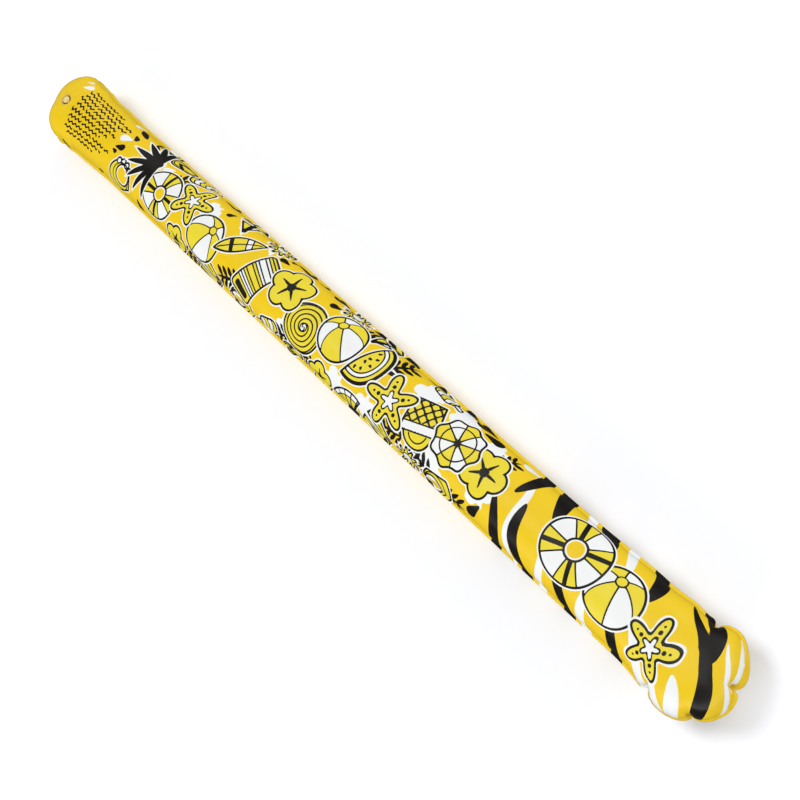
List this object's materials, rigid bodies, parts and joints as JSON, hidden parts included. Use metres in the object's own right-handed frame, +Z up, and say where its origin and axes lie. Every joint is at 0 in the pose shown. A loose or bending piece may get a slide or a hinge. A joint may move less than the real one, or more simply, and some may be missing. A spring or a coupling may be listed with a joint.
{
  "type": "inflatable pool noodle",
  "caption": "Inflatable pool noodle: a long air-filled film tube with lobed, bulging round ends, a flat welded rim and a push-in air valve near one end.",
  "frame": {"origin": "on the floor, under the middle of the whole noodle", "axes": "+X along the noodle towards its wide printed end, +Z up through the front panel, the weld level and in the XY direction"},
  "size_m": [1.25, 0.1094, 0.0804],
  "materials": {
    "printed_film": "glossy soft film, yellow with a black and white print",
    "back_film": "glossy soft film, yellow with a few black and white shapes",
    "valve_vinyl": "soft clear vinyl, slightly yellowed"
  },
  "bodies": {
    "noodle": {"front_panel": "printed_film", "back_panel": "back_film", "valve_flange": "valve_vinyl", "valve_diaphragm": "valve_vinyl"},
    "stem": {"valve_stem": "valve_vinyl", "plug_strap": "valve_vinyl"},
    "plug": {"valve_plug": "valve_vinyl"},
    "flap": {"check_flap": "valve_vinyl"}
  },
  "joints": [
    {"name": "stem_slide", "type": "slide", "parent": "noodle", "child": "stem", "axis": [0, 0, 1], "range_m": [0, 0.0105], "deforming": ["valve_diaphragm"]},
    {"name": "plug_hinge", "type": "hinge", "parent": "stem", "child": "plug", "pos_m": [-0.56795, -0.00093, 0.07656], "axis": [0, 1, 0], "range_deg": [0, 140]},
    {"name": "flap_hinge", "type": "hinge", "parent": "stem", "child": "flap", "pos_m": [-0.5781, -0.00093, 0.06366], "axis": [0, 1, 0], "range_deg": [0, 60], "stiffness_Nm_per_rad": 0.00002, "springref_deg": -28.65}
  ]
}
